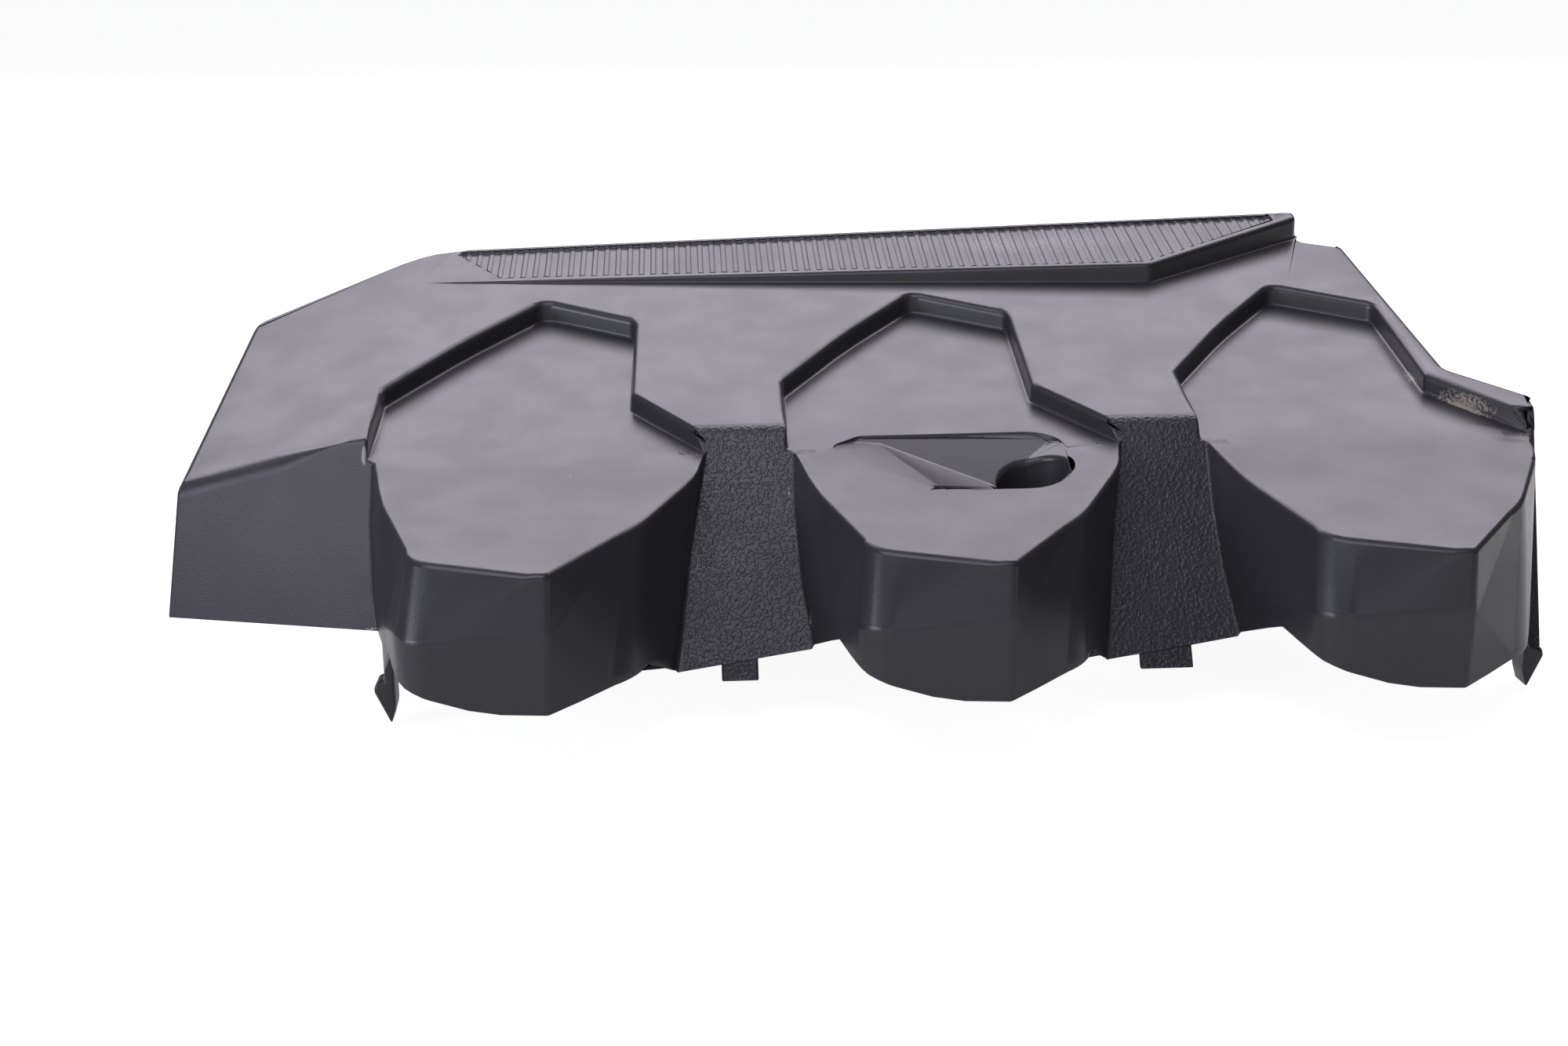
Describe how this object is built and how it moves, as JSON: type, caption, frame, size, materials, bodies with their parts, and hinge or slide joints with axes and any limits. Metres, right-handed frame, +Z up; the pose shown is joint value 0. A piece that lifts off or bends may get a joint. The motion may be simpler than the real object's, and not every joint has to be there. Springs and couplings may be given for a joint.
{
  "type": "engine cover",
  "caption": "Moulded plastic cover for the top of an engine: a sloping deck with recessed lobes that run forward as deep buckets, and a raised ribbed strip along the rear.",
  "frame": {"origin": "centre of the left stud socket's mouth, where the stud enters", "axes": "+X along the engine to the cover's right end, +Y to the rear, +Z up, as the cover sits when fitted"},
  "size_m": [0.4274, 0.2451, 0.1269],
  "materials": {
    "moulded_plastic": "satin charcoal plastic with a fine moulded grain"
  },
  "bodies": {
    "root": {"engine_cover": "moulded_plastic"}
  },
  "joints": []
}
